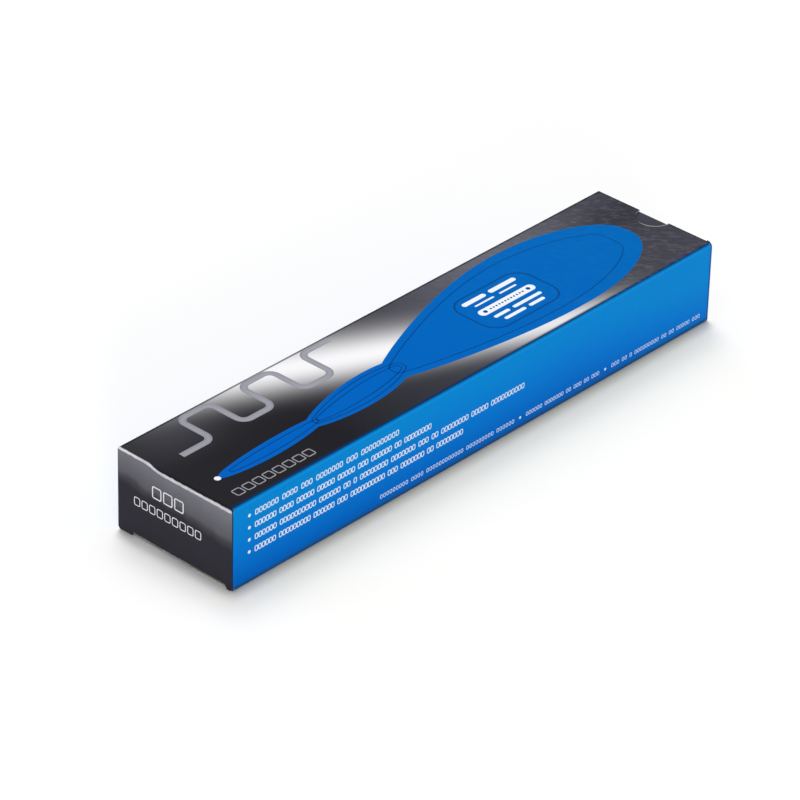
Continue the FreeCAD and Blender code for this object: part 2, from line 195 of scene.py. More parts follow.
@dataclass(frozen=True)
class BoardNodes:
    """A material's node tree and the carton's object coordinates in it, in millimetres.

    They run from the near end, the front edge and the floor.
    """

    tree: Tree
    x: Socket
    y: Socket
    z: Socket
    point: Socket

    @staticmethod
    def of(tree: Tree, turned: bool = False) -> "BoardNodes":
        """Adds the nodes that read the coordinates.

        Args:
            tree: the material's node tree.
            turned: whether they run from the far end and the top instead.

        Returns:
            The tree with its coordinates.
        """
        where = add_node(tree, "ShaderNodeTexCoord")
        point = add_node(tree, "ShaderNodeVectorMath",
                         where.outputs["Object"], (1 / TO_METRES,) * 3,
                         (LENGTH / 2, WIDTH / 2, 0.0), operation="MULTIPLY_ADD")
        x, y, z = add_node(tree, SPLIT, point).outputs
        if turned:
            x, z = (add_node(tree, "SUBTRACT", size, along).outputs[0]
                    for size, along in ((LENGTH, x), (HEIGHT, z)))
            point = add_node(tree, JOIN, x, y, z)
        return BoardNodes(tree, x, y, z, point.outputs[0])

    def add(self, kind: str, *inputs: Value, **settings: object) -> Node:
        """Adds one node to the tree, as add_node does."""
        return add_node(self.tree, kind, *inputs, **settings)

    def coat(self, colour: Value, *coats: tuple[Value, Value | str]) -> Node:
        """Lays coats of colour over a colour.

        Args:
            colour: the colour underneath.
            coats: how far each coat covers, from 0 to 1, and its colour as a node or in hex.

        Returns:
            A node that gives the colour seen.
        """
        for share, tone in coats:
            tone = linear(tone) if isinstance(tone, str) else tone
            colour = self.add("ShaderNodeMix", {0: share, 6: colour, 7: tone}, data_type="RGBA")
        return colour

    def bell(self, along: Value, centre: float, reach: Value) -> Node:
        """Adds a soft bell over a coordinate.

        Args:
            along: the coordinate.
            centre: where the bell is 1.
            reach: how far from there it falls to 0.61.

        Returns:
            A node that gives the bell's height, from 0 to 1.
        """
        share = self.add("DIVIDE", ("SUBTRACT", along, centre), reach)
        return self.add("EXPONENT", ("MULTIPLY", ("MULTIPLY", share, share), -0.5))

    def varnish(self) -> Node:
        """Adds the waviness that board fibres leave under a water-based varnish.

        Returns:
            The bump node.
        """
        # fibre flocks of 2 to 3 mm, and the varnish's orange peel at 0.5 mm
        flocks = self.add(NOISE, {"Vector": self.point, "Scale": 0.4, "Detail": 2.0})
        peel = self.add(NOISE, {"Vector": self.point, "Scale": 2.0, "Detail": 1.0})
        return self.add("ShaderNodeBump", {"Strength": 0.25, "Distance": 0.00006,
                                           "Height": ("MULTIPLY_ADD", peel, 0.25, flocks)})

    def handling(self) -> Node:
        """Adds the hairline creases and rubs that handling leaves towards the far end.

        Returns:
            A node that gives the marks' strength, from 0 to 1.
        """
        # hairline creases: thin contour lines of a noise whose lumps are about 9 mm across
        lumps = self.add(NOISE, {"Vector": self.point, "Scale": 0.11, "Detail": 4.0,
                                 "Roughness": 0.62, "Distortion": 0.8})
        creases = self.add("SMOOTHSTEP", ("ABSOLUTE", ("SUBTRACT", lumps, 0.5)), 0.022, 0.004, 0.0,
                           0.55)
        patch = self.add(NOISE, {"Vector": self.point, "Scale": 0.06, "Detail": 2.0})
        here = self.add("SMOOTHSTEP", patch, 0.48, 0.64)
        # rubs: dashes about 0.6 mm wide and 3 mm long, lying at a slant to the carton
        turned = self.add("ShaderNodeMapping",
                          {"Vector": self.point, "Rotation": (0.0, 0.0, math.radians(-46.0)),
                           "Scale": (3.4, 1.1, 1.1)}, vector_type="TEXTURE")
        dashes = self.add(NOISE, {"Vector": turned, "Scale": 1.0, "Detail": 3.0, "Roughness": 0.6,
                                  "Distortion": 0.5})
        rubs = self.add("LINEAR", dashes, 0.48, 0.78)
        far = self.add("SMOOTHSTEP", self.x, 110.0, 200.0)
        return self.add("MULTIPLY", ("MAXIMUM", ("MULTIPLY", creases, here), rubs), far)

    def crease_drop(self) -> Node:
        """Adds how far below the crease a lid's pale line of ink wear and painted highlight runs,
        which is more towards the front.

        Returns:
            A node that gives the drop.
        """
        return self.add("SMOOTHSTEP", self.y, WIDTH - 12.0, WIDTH - 22.0, 0.0, 1.5)

    def crease_wear_and_highlight(self) -> Value:
        """Adds the pale ragged line along a lid's crease: ink lost from the crease, and a painted
        highlight where the fold's round catches light.

        Returns:
            The wear's strength, from 0 to 1.
        """
        # distance across the crease, above nought on the top panel and below it on the end
        across = ("SUBTRACT", ("ADD", self.z, self.x), HEIGHT)
        ragged = self.add(NOISE,
                          {"Vector": self.point, "Scale": 0.5, "Detail": 3.0, "Roughness": 0.6})
        shift = ("MULTIPLY_ADD", ("SUBTRACT", ragged, 0.5), 0.8, across)
        near = ("ABSOLUTE", ("ADD", shift, self.crease_drop()))
        band = self.add("SMOOTHSTEP", near, 0.85, 0.35)
        patchy = self.add(NOISE, {"Vector": self.point, "Scale": 0.22, "Detail": 2.0})
        dense = self.add("LINEAR", patchy, 0.3, 0.6, 0.7, 0.95)
        # neither past the fold nor round the front corner
        here = self.add("LINEAR", self.x, 1.6, 1.2)
        behind = self.add("LINEAR", self.y, 0.3, 0.8)
        return "MULTIPLY", ("MULTIPLY", ("MULTIPLY", band, dense), here), behind

    def rim_wear(self) -> Value:
        """Adds the thin pale rim where fingers have scuffed the top panel's thumb notch.

        Returns:
            The wear's strength, from 0 to 1.
        """
        flat = self.add("ShaderNodeVectorMath", self.point, (1.0, 1.0, 0.0), operation="MULTIPLY")
        apart = self.add("ShaderNodeVectorMath", flat, (LENGTH - 0.8, WIDTH / 2, 0.0),
                         operation="DISTANCE")
        rim = self.add("SMOOTHSTEP", apart.outputs["Value"], 7.55, 7.2, 0.0, 0.45)
        front = self.add("SMOOTHSTEP", self.y, WIDTH / 2 + 3.0, WIDTH / 2 - 2.0)
        return "MULTIPLY", ("MULTIPLY", rim, front), ("GREATER_THAN", self.z, HEIGHT - 0.2)


@dataclass(frozen=True, kw_only=True)
class Finish:
    """A finish of the carton: its name, how it takes the light, and which end it is laid from."""

    name: str
    roughness: float = 0.34
    specular: float = 0.015
    turned: bool = False

    def colour(self, on: BoardNodes) -> Node:
        """Adds the finish's colour, which each finish has its own way to make.

        Args:
            on: the material's tree and coordinates.

        Returns:
            A node that gives the colour.
        """
        raise NotImplementedError

    def relief(self, on: BoardNodes) -> Node:
        """Adds the finish's relief: the varnish's, unless a finish has its own."""
        return on.varnish()

    def material(self) -> Material:
        """Makes the material.

        Returns:
            The finished material.
        """
        made = bpy.data.materials.new(self.name)
        made.use_nodes = True
        tree = made.node_tree
        shader = tree.nodes["Principled BSDF"]
        on = BoardNodes.of(tree, self.turned)
        for label, node in (("Base Color", self.colour(on)), ("Normal", self.relief(on))):
            tree.links.new(next(output for output in node.outputs if output.enabled),
                           shader.inputs[label])
        shader.inputs["Roughness"].default_value = self.roughness
        shader.inputs["Specular IOR Level"].default_value = self.specular
        return made


@dataclass(frozen=True, kw_only=True)
class PrintedBoard(Finish):
    """Solid bleached paperboard, offset printed and finished with gloss aqueous varnish.

    The top is black with a slanting silver glow, the long sides are cyan blue shading darker
    downwards. The varnish's faint broad sheen on the dark ink is painted into the black, and the
    varnish gives the blue its depth.
    """

    name: str = "varnished_print_on_paperboard"
    black_near: str = "#201f24"
    black_quarter: str = "#18181f"
    black_middle: str = "#42424c"
    black_far: str = "#3c3c47"
    sheen: str = "#b4b5c4"
    # painted shade where the top turns down at its edges, and the darker patch before the far notch
    rim: str = "#0c0c16"
    silver: str = "#fcfcff"
    blue_top: str = "#0084cf"
    blue_middle: str = "#0076cd"
    blue_foot: str = "#0062bd"
    navy: str = "#062c58"
    # painted contact shade along the sides' foot
    contact_shade: str = "#244f78"
    highlight: str = "#1590e0"
    # pale tone of handling marks, the notch's scuffed rim, and the crease's ink wear with its
    # painted highlight
    wear_and_highlight: str = "#dcdce2"
    print_shift: float = 0.6        # the print sits this far back across the board
    soft_edge: float = 0.06         # half the width over which one ink gives way to the other
    fold_reach: float = 1.0         # how far the top's and the bottom's ink come round their folds
    end_margin: float = 0.65        # the fold's gleam stops this far from both ends
    marks_blue: float = 0.008       # how strongly handling marks show on the blue
    marks_black: float = 0.085      # and on the black
    glow_centre: float = 173.1
    glow_slant: float = 1.935
    glow_reach: Ramp = (0.0, WIDTH, 15.4, 21.0)
    glow_height: Ramp = (0.0, 25.0, 0.78, 0.93)
    # painted sheen: grey reflections laid into the black towards the back edge: where along it, how
    # far, how strongly
    sheens: tuple[tuple[float, float, float], ...] = ((185.0, 25.0, 0.17), (20.0, 14.0, 0.065))
    sheen_back: Ramp = (25.0, 50.0)
    # and a darker patch lies before the far notch: where, how far along and across, how strongly
    dark_patch_at: Point = (240.0, 37.0)
    dark_patch_reach: Point = (14.0, 7.5)
    dark_patch_strength: float = 0.42
    foot_fade: Ramp = (170.0, LENGTH, 0.0, 0.28)    # the darker foot fades out towards the far end
    contact_shade_reach: Ramp = (2.4, 1.3, 0.0, 0.85)        # painted shade where the board turns under to meet the floor
    rim_before: Point = (1.6, 1.0)                  # where the dark rim starts and where it is full
    rim_share: float = 0.8
    overlap_at: float = 0.05                        # where the two inks overlap, above the fold
    overlap: Ramp = (1.2, 0.1)
    gleam_at: float = 1.8                           # where the blue catches light, below the fold
    gleam: Ramp = (0.55, 0.1, 0.0, 0.6)

    def glow(self, on: BoardNodes) -> Value:
        """Adds the silver glow, a soft bell across a slanting line.

        Args:
            on: the material's tree and coordinates.

        Returns:
            The glow's strength, from 0 to 1.
        """
        along = ("MULTIPLY_ADD", on.y, self.glow_slant, on.x)
        bell = on.bell(along, self.glow_centre, ("LINEAR", on.y, *self.glow_reach))
        return "MULTIPLY", bell, ("SMOOTHSTEP", on.y, *self.glow_height)

    def top(self, on: BoardNodes) -> Node:
        """Adds the top panel's black with its glow.

        Args:
            on: the material's tree and coordinates.

        Returns:
            A node that gives the colour.
        """
        # the black lightens towards the far end: partly the print's own gradient, partly a painted
        # reflection of the white surroundings
        colour = on.add("ShaderNodeValToRGB", ("LINEAR", on.x, 0.0, LENGTH),
                        stops=((0.0, self.black_near), (1.0, self.black_far),
                               (0.24, self.black_quarter), (0.6, self.black_middle),
                               (0.86, self.black_middle)))
        # painted sheen: grey bells laid into the black towards the back edge
        back = on.add("SMOOTHSTEP", on.y, *self.sheen_back)
        for centre, reach, strength in self.sheens:
            share = ("MULTIPLY", ("MULTIPLY", on.bell(on.x, centre, reach), strength), back)
            colour = on.coat(colour, (share, self.sheen))
        along, across = (on.bell(*bell) for bell in zip((on.x, on.y), self.dark_patch_at,
                                                        self.dark_patch_reach))
        dark_patch = ("MULTIPLY", ("MULTIPLY", along, across), self.dark_patch_strength)
        return on.coat(colour, (dark_patch, self.rim), (self.glow(on), self.silver))

    def side(self, on: BoardNodes) -> Node:
        """Adds the long sides' blue.

        Args:
            on: the material's tree and coordinates.

        Returns:
            A node that gives the colour.
        """
        lift = ("SMOOTHSTEP", on.x, *self.foot_fade)
        raised = on.add("ADD", ("LINEAR", on.z, 0.0, HEIGHT), lift, use_clamp=True)
        colour = on.add("ShaderNodeValToRGB", raised,
                        stops=((0.05, self.blue_foot), (0.97, self.blue_top),
                               (0.45, self.blue_middle), (0.85, self.blue_top)))
        # painted shade where the side turns under to the floor
        return on.coat(colour, (("SMOOTHSTEP", on.z, *self.contact_shade_reach), self.contact_shade))

    def colour(self, on: BoardNodes) -> Node:
        """Adds the whole print's colour.

        Args:
            on: the material's tree and coordinates.

        Returns:
            A node that gives the colour.
        """
        # height above the fold's 45 degree line: the black stops there and the blue begins
        sideways = on.add("ABSOLUTE", ("SUBTRACT", on.y, WIDTH / 2 + self.print_shift))
        over_fold = on.add("SUBTRACT", ("SUBTRACT", on.z, sideways), HEIGHT - WIDTH / 2)
        # the dust flaps carry the sides' blue all over
        high = on.add("GREATER_THAN", on.z, HEIGHT - self.fold_reach)
        on_top = on.add("MULTIPLY", ("LINEAR", over_fold, -self.soft_edge, self.soft_edge), high)
        below = on.add("LINEAR", ("ADD", on.z, sideways), WIDTH / 2 + self.soft_edge,
                       WIDTH / 2 - self.soft_edge)
        underneath = ("MULTIPLY", below, ("LESS_THAN", on.z, self.fold_reach))
        colour = on.coat(self.side(on), (on_top, self.top(on)), (underneath, self.black_near))
        # painted shade: the black darkens where the top turns down at its back and far edges
        for along, last in ((on.y, WIDTH), (on.x, LENGTH)):
            rim = ("LINEAR", along, *(last - before for before in self.rim_before), 0.0,
                   self.rim_share)
            colour = on.coat(colour, (("MULTIPLY", rim, on_top), self.rim))
        # the two inks overlap in a navy line along the fold, and the blue beneath it catches light
        overlap = ("LINEAR", ("ABSOLUTE", ("SUBTRACT", over_fold, self.overlap_at)), *self.overlap)
        gleam = ("SMOOTHSTEP", ("ABSOLUTE", ("ADD", over_fold, self.gleam_at)), *self.gleam)
        gleam = ("MULTIPLY", ("MULTIPLY", gleam, ("GREATER_THAN", on.x, self.end_margin)),
                 ("LESS_THAN", on.x, LENGTH - self.end_margin))
        faint = ("MULTIPLY", on.handling(),
                 ("LINEAR", on_top, 0.0, 1.0, self.marks_blue, self.marks_black))
        # pale coats: handling marks, the notch's scuffed rim, and along the crease ink wear with a
        # painted highlight
        return on.coat(colour, (("MULTIPLY", overlap, high), self.navy), (gleam, self.highlight),
                       (faint, self.wear_and_highlight), (on.rim_wear(), self.wear_and_highlight),
                       (on.crease_wear_and_highlight(), self.wear_and_highlight))


@dataclass(frozen=True, kw_only=True)
class SilverFadePrint(Finish):
    """The same varnished board where the end panels' print fades from metallic silver to black.

    The silver gives the upper part a soft grey, and a painted highlight makes it brighter towards
    the front corner and the top fold; the black below it has a wavering upper edge. Turned, it is
    the far end's.
    """

    black: str = "#201f24"
    dark: str = "#33323a"
    middle: str = "#48474e"
    grey: str = "#5f5f65"
    light: str = "#68686f"
    pale: str = "#76767f"
    corner_highlight: str = "#888893"
    # painted shade of the floor seen under the near lid's raised lower edge
    gap_shade: str = "#b8b8bb"
    wear_and_highlight: str = "#dcdce2"
    edge: Ramp = (WIDTH, 0.0, 20.0, 17.0)           # the black's upper edge, from back to front
    waver: float = 5.0
    fade: Ramp = (-2.5, 10.0)                       # begins below that edge and ends above it
    front_gleam: Ramp = (34.0, 2.0)
    high_gleam: Ramp = (HEIGHT - 4.0, HEIGHT - 0.6)
    black_over: Ramp = (HEIGHT - 0.2, HEIGHT + 0.2)
    # the painted floor shade under the lid's lower edge reaches higher towards the back
    strip_reach: Ramp = (9.0, WIDTH - 14.0, 0.7, 1.9)
    strip_edge: Ramp = (0.3, -0.3)
    strip_depth: Ramp = (2.0, 1.5, 0.0, 1.0)
    strip_sides: tuple[Ramp, ...] = ((3.9, 4.3, 0.0, 1.0), (48.1, 47.7, 0.0, 1.0))
    strip_patches: Ramp = (0.3, 0.6, 0.75, 0.95)

    def floor_shade_strip(self, on: BoardNodes) -> Value:
        """Adds a pale grey strip along the tuck's crease, in patches and between the lid's two ears:
        painted shade of the floor, standing in for the lid's lower edge raised above it.

        Args:
            on: the material's tree and coordinates.

        Returns:
            The strip's strength, from 0 to 1.
        """
        reach = ("LINEAR", on.y, *self.strip_reach)
        strip = ("SMOOTHSTEP", ("SUBTRACT", on.z, reach), *self.strip_edge)
        patchy = on.add(NOISE, {"Vector": on.point, "Scale": 0.25, "Detail": 3.0})
        for along, ramp in ((on.x, self.strip_depth), (on.y, self.strip_sides[0]),
                            (on.y, self.strip_sides[1]), (patchy, self.strip_patches)):
            strip = ("MULTIPLY", strip, ("LINEAR", along, *ramp))
        return strip

    def colour(self, on: BoardNodes) -> Node:
        """Adds the fade's colour.

        Args:
            on: the material's tree and coordinates.

        Returns:
            A node that gives the colour.
        """
        waver = on.add(NOISE, {"Vector": on.point, "Scale": 0.09, "Detail": 2.0})
        edge = ("MULTIPLY_ADD", waver, self.waver, ("LINEAR", on.y, *self.edge))
        colour = on.add("ShaderNodeValToRGB", ("LINEAR", ("SUBTRACT", on.z, edge), *self.fade),
                        stops=((0.0, self.dark), (1.0, self.pale), (0.2, self.middle),
                               (0.36, self.grey), (0.62, self.light)))
        # painted highlight: brighter towards the front corner and the top fold
        gleam = ("MULTIPLY", ("SMOOTHSTEP", on.y, *self.front_gleam),
                 ("SMOOTHSTEP", on.z, *self.high_gleam))
        # above the pale crease line the top panel's black comes over the fold
        over = ("LINEAR", ("ADD", ("ADD", on.z, on.crease_drop()), on.x), *self.black_over)
        # the crease line is ink wear with a painted highlight
        colour = on.coat(colour, (gleam, self.corner_highlight), (over, self.black),
                         (on.crease_wear_and_highlight(), self.wear_and_highlight))
        # the near end gets the strip of painted floor shade along its tuck's crease
        return colour if self.turned else on.coat(colour, (self.floor_shade_strip(on), self.gap_shade))


@dataclass(frozen=True, kw_only=True)
class BareBoard(Finish):
    """The uncoated side, or the cut edge, of bleached paperboard: matt white pulp with fibres."""

    pale: str
    shade: str
    fibre_per_mm: float
    margin: str | None = None       # ink that has crept over the front edge
    crept: Ramp = (1.2, 0.9)
    roughness: float = 0.85
    specular: float = 0.25

    def fibres(self, on: BoardNodes) -> Node:
        """Adds the pulp's fibres, as a node that gives their height."""
        return on.add(NOISE, {"Vector": on.point, "Scale": self.fibre_per_mm, "Detail": 4.0,
                              "Roughness": 0.7})

    def colour(self, on: BoardNodes) -> Node:
        """Adds the pulp's colour.

        Args:
            on: the material's tree and coordinates.

        Returns:
            A node that gives the colour.
        """
        colour = on.add("ShaderNodeValToRGB", self.fibres(on),
                        stops=((0.3, self.shade), (0.6, self.pale)))
        if self.margin is None:
            return colour
        return on.coat(colour, (("LINEAR", on.y, *self.crept), self.margin))

    def relief(self, on: BoardNodes) -> Node:
        """Adds the fibres' relief, as the bump node."""
        return on.add("ShaderNodeBump",
                      {"Strength": 0.5, "Distance": 0.00005, "Height": self.fibres(on)})


@dataclass(frozen=True, kw_only=True)
class OffsetInk(Finish):
    """A film of offset ink under the gloss varnish, with the board's faint waviness in it."""

    near: str
    far: str
    marks: float = 0.0
    mark_colour: str = "#58a8e8"
    cloud: float = 0.4
    change: Ramp = (20.0, 235.0, -0.2, 0.8)         # from the near colour to the far one
    specular: float = 0.005

    def colour(self, on: BoardNodes) -> Node:
        """Adds the ink's colour.

        Args:
            on: the material's tree and coordinates.

        Returns:
            A node that gives the colour.
        """
        # ink lies a little unevenly in clouds of about 8 mm
        cloud = on.add(NOISE, {"Vector": on.point, "Scale": 0.12, "Detail": 2.0})
        share = on.add("MULTIPLY_ADD", cloud, self.cloud, ("LINEAR", on.x, *self.change),
                       use_clamp=True)
        return on.coat(linear(self.near), (share, self.far),
                       (("MULTIPLY", on.handling(), self.marks), self.mark_colour))


# ------------ rules drawn with Geometry Nodes

@dataclass
class Rule:
    """A Geometry Nodes tree with named inputs, and the modifier that runs it."""

    name: str
    inputs: dict[str, float | int]

    def __post_init__(self) -> None:
        """Makes the empty tree and its sockets."""
        self.tree = bpy.data.node_groups.new(self.name, "GeometryNodeTree")
        self.tree.is_modifier = True
        for direction in ("INPUT", "OUTPUT"):
            self.tree.interface.new_socket("Geometry", in_out=direction,
                                           socket_type="NodeSocketGeometry")
        for label, default in self.inputs.items():
            kind = "NodeSocketInt" if isinstance(default, int) else "NodeSocketFloat"
            self.tree.interface.new_socket(label, in_out="INPUT",
                                           socket_type=kind).default_value = default
        self.source = self.tree.nodes.new("NodeGroupInput")

    def __getitem__(self, label: str) -> Socket:
        """The tree's own end of a named input."""
        return self.source.outputs[label]

    def add(self, kind: str, *inputs: Value, **settings: object) -> Node:
        """Adds one node to the tree, as add_node does."""
        return add_node(self.tree, kind, *inputs, **settings)

    def here(self) -> list[Socket]:
        """The three coordinates of the point that the nodes are working on."""
        return list(self.add(SPLIT, ("GeometryNodeInputPosition",)).outputs)

    def put(self, shape: Node, x: Value, y: Value, z: Value = 0.0) -> Node:
        """Adds the nodes that move each point of a shape to x, y and z."""
        return self.add(MOVE, {"Geometry": shape, "Position": (JOIN, x, y, z)})

    def rounded(self, curve: Node) -> Node:
        """Rounds a curve's corners by the inputs Corner and Corner steps."""
        return self.add("GeometryNodeFilletCurve", {"Curve": curve, "Count": self["Corner steps"],
                                                    "Radius": self["Corner"]}, mode="POLY")

    def stroke(self, curve: Node) -> Node:
        """Adds the nodes that ink a flat curve with a stroke as wide as the input Stroke.

        Args:
            curve: the flat curve.

        Returns:
            The closed film of ink.
        """
        profile = self.add(OBLONG, {"Width": self["Stroke"], "Height": FILM})
        upright = self.add("GeometryNodeSetCurveNormal", {"Curve": curve}, mode="Z_UP")
        ribbon = self.add("GeometryNodeCurveToMesh",
                          {"Curve": upright, "Profile Curve": profile, "Fill Caps": True})
        return self.add(TRANSFORM, {"Geometry": ribbon, "Translation": (0.0, 0.0, FILM_MIDDLE)})

    def end(self, shape: Node, ink: Material) -> "Rule":
        """Ends the tree: real geometry, in one material.

        Args:
            shape: the node that gives the shape.
            ink: the material.

        Returns:
            The rule itself.
        """
        inked = self.add("GeometryNodeSetMaterial", {"Geometry": (REALIZE, shape), "Material": ink})
        self.add("NodeGroupOutput", inked)
        return self

    def run(self, points: list[Point] = (), values: dict[str, float | int] | None = None,
            bars: list[Point] = ()) -> Mesh:
        """Runs the tree once on an object of its own and takes the result away as a plain mesh.

        Args:
            points: where the rule sets its shapes, in the face's flat coordinates.
            values: the named inputs that differ from their defaults.
            bars: the length and height that each point carries, for a bar.

        Returns:
            The mesh, in the face's flat coordinates.
        """
        dots = bpy.data.meshes.new(self.name)
        dots.from_pydata([(x, y, 0.0) for x, y in points], [], [])
        for label, numbers in zip(BAR_SIZES, zip(*bars)):
            dots.attributes.new(label, "FLOAT", "POINT").data.foreach_set("value", numbers)
        seed = add_object(self.name, dots)
        modifier = seed.modifiers.new(self.name, "NODES")
        modifier.node_group = self.tree
        for item in self.tree.interface.items_tree:
            if item.in_out == "INPUT" and item.name in (values or {}):
                modifier[item.identifier] = values[item.name]
        return take_mesh(seed)


def bar_rule(ink: Material) -> Rule:
    """The rule for round-ended bars: one on each point, as long and as high as the point says.

    Args:
        ink: the bars' material.

    Returns:
        The rule.
    """
    rule = Rule(f"round_bars_{ink.name}", {"Round steps": 16, "Film": FILM})
    disc = rule.add("GeometryNodeMeshCylinder", {"Vertices": rule["Round steps"], "Radius": 0.5,
                                                 "Depth": rule["Film"]})
    # half a step round, so that no vertex lies on the line that parts the bar's two ends
    turn = (JOIN, 0.0, 0.0, ("DIVIDE", math.pi, rule["Round steps"]))
    disc = rule.add(TRANSFORM,
                    {"Geometry": disc, "Rotation": turn, "Translation": (0.0, 0.0, FILM_MIDDLE)})
    disc = rule.add("GeometryNodeStoreNamedAttribute",
                    {"Geometry": disc, "Name": BAR_END, "Value": ("SIGN", rule.here()[0])},
                    data_type="FLOAT", domain="POINT")
    length, height, side = (rule.add("GeometryNodeInputNamedAttribute", {"Name": label},
                                     data_type="FLOAT")
                            for label in (*BAR_SIZES, BAR_END))
    bars = rule.add(SPREAD, {"Points": rule["Geometry"], "Instance": disc,
                             "Scale": (JOIN, height, height, 1.0)})
    shift = ("MULTIPLY", ("MULTIPLY", ("SUBTRACT", length, height), side), 0.5)
    return rule.end(rule.add(MOVE, {"Geometry": (REALIZE, bars), "Offset": (JOIN, shift)}), ink)


def frame_rule(ink: Material) -> Rule:
    """The rule for outlined, slightly rounded squares, one centred on each point.

    Args:
        ink: the outlines' material.

    Returns:
        The rule.
    """
    rule = Rule(f"round_frames_{ink.name}", {"Width": 3.4, "Height": 4.4, "Corner": 1.3,
                                             "Stroke": 0.8, "Corner steps": 6})
    outline = rule.add(OBLONG, {"Width": rule["Width"], "Height": rule["Height"]})
    film = rule.stroke(rule.rounded(outline))
    return rule.end(rule.add(SPREAD, {"Points": rule["Geometry"], "Instance": film}), ink)


def signal_rule(ink: Material) -> Rule:
    """The rule for a pulse train: a stroke that steps between two levels at a steady pitch.

    Args:
        ink: the stroke's material.

    Returns:
        The rule.
    """
    rule = Rule(f"pulse_train_{ink.name}", {"Points": 12, "Start": 11.5, "Pitch": 15.0, "Low": 35.6,
                                            "High": 52.4, "Corner": 3.6, "Corner steps": 8,
                                            "Stroke": 2.8})
    line = rule.add("GeometryNodeMeshLine", {"Count": rule["Points"]})
    index = rule.add("GeometryNodeInputIndex")
    # counted from nought, each even point has a step along after it and each odd one a step up
    # or down
    along, across = (("FLOOR", ("MULTIPLY", number, 0.5))
                     for number in (("ADD", index, 1.0), index))
    level = rule.add("LINEAR", ("MODULO", across, 2.0), 0.0, 1.0, rule["Low"], rule["High"])
    stepped = rule.put(line, ("MULTIPLY_ADD", along, rule["Pitch"], rule["Start"]), level)
    return rule.end(rule.stroke(rule.rounded(rule.add("GeometryNodeMeshToCurve", stepped))), ink)


# ------------ prints

def finish_film(name: str, face: Face, meshes: list[Mesh], layer: int = 0) -> None:
    """Joins printed shapes into one piece on a face of the carton.

    Args:
        name: the piece's name.
        face: the face that they are printed on.
        meshes: its shapes, in the face's flat coordinates.
        layer: how many films of ink lie under it.
    """
    joined = bmesh.new()
    for mesh in meshes:
        joined.from_mesh(mesh)
    bmesh.ops.recalc_face_normals(joined, faces=joined.faces)
    whole = bpy.data.meshes.new(name)
    joined.to_mesh(whole)
    joined.free()
    for material in meshes[0].materials:
        whole.materials.append(material)
    for attribute in list(whole.attributes):
        if attribute.name in (*BAR_SIZES, BAR_END):
            whole.attributes.remove(attribute)
    whole.transform(face.place() @ Matrix.Translation((0.0, 0.0, layer * FILM_HEIGHT)))
    piece = add_object(name, whole)
    body = "near_lid" if face is Face.NEAR_END else "sleeve"
    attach(piece, body)
    LOG.info("%s: %d faces on %s", name, len(whole.polygons), body)


@dataclass(frozen=True)
class Lobe:
    """One swelling of the top print's blue form."""

    start: float
    end: float
    half_height: float
    fullness: float
    lean: float                     # above 1, the lobe is fullest past its middle
    lines: tuple[float, ...]        # its inner lines' shares of its height

    def swell(self, rule: Rule, x: Node) -> Value:
        """Adds the lobe's half height by the sine rule.

        Args:
            rule: the rule whose tree gets the nodes.
            x: the distance along the carton.

        Returns:
            The half height, nought outside the lobe.
        """
        share = rule.add("LINEAR", x, self.start, self.end)
        sine = ("SINE", ("MULTIPLY", ("POWER", share, self.lean), math.pi))
        return "MULTIPLY", ("POWER", ("MAXIMUM", sine, 0.0), self.fullness), self.half_height


